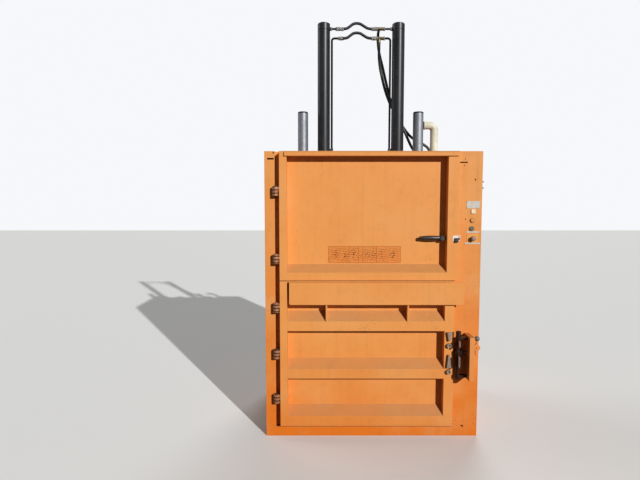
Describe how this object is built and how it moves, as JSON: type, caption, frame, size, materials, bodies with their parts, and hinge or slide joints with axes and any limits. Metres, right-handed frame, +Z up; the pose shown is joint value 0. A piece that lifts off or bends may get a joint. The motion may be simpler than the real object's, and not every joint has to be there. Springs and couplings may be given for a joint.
{
  "type": "vertical recycling baler",
  "caption": "Two-cylinder vertical baler with a loading door above a ribbed bale door, a side control cabinet and hydraulic lines on top.",
  "frame": {"origin": "centre of the base frame's footprint at the floor, on its underside", "axes": "+X to the right as seen from the front, +Y to the back, +Z up; the doors face -Y"},
  "size_m": [1.739, 1.212, 3.466],
  "materials": {
    "orange_paint": "faded orange paint, semi matt",
    "black_paint": "black paint, satin",
    "zinc_plate": "zinc plated",
    "brass": "dull brass",
    "hose_rubber": "black rubber",
    "cream_plastic": "aged cream plastic",
    "worn_steel": "worn bare steel with paint rests",
    "dark_steel": "oiled dark steel",
    "pale_plate": "faded pale plate, bare",
    "lamp_plastic": "pale lens",
    "yellow_plastic": "faded yellow",
    "black_plastic": "black plastic",
    "grey_plastic": "grey brown plastic",
    "faded_red_plastic": "faded red plastic",
    "chrome_rod": "polished rod",
    "galvanised": "galvanised tube"
  },
  "bodies": {
    "machine": {"base_frame": "orange_paint", "floor_bars": "orange_paint", "left_side": "orange_paint", "chamber_right_wall": "orange_paint", "cabinet_front": "orange_paint", "cabinet_side": "orange_paint", "cabinet_back": "orange_paint", "back_plate": "orange_paint", "back_ribs": "orange_paint", "lintel": "orange_paint", "crosshead": "orange_paint", "roof_plates": "orange_paint", "cabinet_roof": "orange_paint", "left_cylinder": "black_paint", "right_cylinder": "black_paint", "cylinder_caps": "black_paint", "flange_bolts": "zinc_plate", "rod_end_pipes": "black_paint", "line_fittings": "zinc_plate", "brass_tees": "brass", "upper_hose": "hose_rubber", "lower_hose": "hose_rubber", "pressure_hose": "hose_rubber", "return_hose": "hose_rubber", "hose_bulkhead": "zinc_plate", "conduit_elbow": "cream_plastic", "conduit_cable": "hose_rubber", "hinge_seats": "worn_steel", "panel_plates": "pale_plate", "panel_lamp": "lamp_plastic", "estop_plate": "yellow_plastic", "button_bezels": "zinc_plate", "lock_housing": "orange_paint", "latch_bearings": "orange_paint", "side_cleat": "black_paint", "service_cover": "orange_paint"},
    "loading_door": {"upper_door_frame": "orange_paint", "upper_door_skin": "orange_paint", "upper_door_barrels": "worn_steel", "switch_actuator": "black_plastic"},
    "door_lever": {"door_handle": "black_plastic", "handle_tongue": "worn_steel"},
    "bale_door": {"lower_door_frame": "orange_paint", "lower_door_skin": "orange_paint", "header_beam": "orange_paint", "header_gussets": "orange_paint", "door_strikers": "worn_steel", "lower_door_barrels": "worn_steel"},
    "latch": {"latch_shaft": "dark_steel", "latch_claws": "dark_steel"},
    "release": {"release_lever": "orange_paint", "release_knob": "zinc_plate"},
    "bolt": {"lock_bolt": "worn_steel"},
    "press": {"platen": "orange_paint", "press_rods": "chrome_rod", "guide_tubes": "galvanised", "guide_caps": "black_paint"},
    "start_push": {"start_button": "grey_plastic"},
    "second_push": {"second_button": "black_plastic"},
    "stop_push": {"estop_knob": "faded_red_plastic"}
  },
  "joints": [
    {"name": "loading_door_hinge", "type": "hinge", "parent": "machine", "child": "loading_door", "pos_m": [-0.77, -0.558, 1.7245], "axis": [0, 0, -1], "range_deg": [0, 120]},
    {"name": "loading_door_handle", "type": "hinge", "parent": "loading_door", "child": "door_lever", "pos_m": [0.5495, -0.52, 1.622], "axis": [0, -1, 0], "range_deg": [0, 90]},
    {"name": "bale_door_hinge", "type": "hinge", "parent": "machine", "child": "bale_door", "pos_m": [-0.77, -0.558, 0.693], "axis": [0, 0, -1], "range_deg": [0, 120]},
    {"name": "latch_turn", "type": "hinge", "parent": "machine", "child": "latch", "pos_m": [0.674, -0.604, 0.7], "axis": [0, 0, -1], "range_deg": [0, 90]},
    {"name": "release_turn", "type": "hinge", "parent": "machine", "child": "release", "pos_m": [0.812, -0.632, 0.764], "axis": [0, 1, 0], "range_deg": [0, 18]},
    {"name": "bolt_slide", "type": "slide", "parent": "machine", "child": "bolt", "axis": [-1, 0, 0], "range_m": [0, 0.0143]},
    {"name": "press_slide", "type": "slide", "parent": "machine", "child": "press", "axis": [0, 0, 1], "range_m": [-0.27, 0.735]},
    {"name": "start_press", "type": "slide", "parent": "machine", "child": "start_push", "axis": [0, 1, 0], "range_m": [0, 0.004], "stiffness_N_per_m": 500},
    {"name": "second_press", "type": "slide", "parent": "machine", "child": "second_push", "axis": [0, 1, 0], "range_m": [0, 0.004], "stiffness_N_per_m": 500},
    {"name": "stop_press", "type": "slide", "parent": "machine", "child": "stop_push", "axis": [0, 1, 0], "range_m": [0, 0.006]}
  ],
  "couplings": [
    {"joint": "bolt_slide", "follows": "release_turn", "m_per_rad": 0.045}
  ]
}
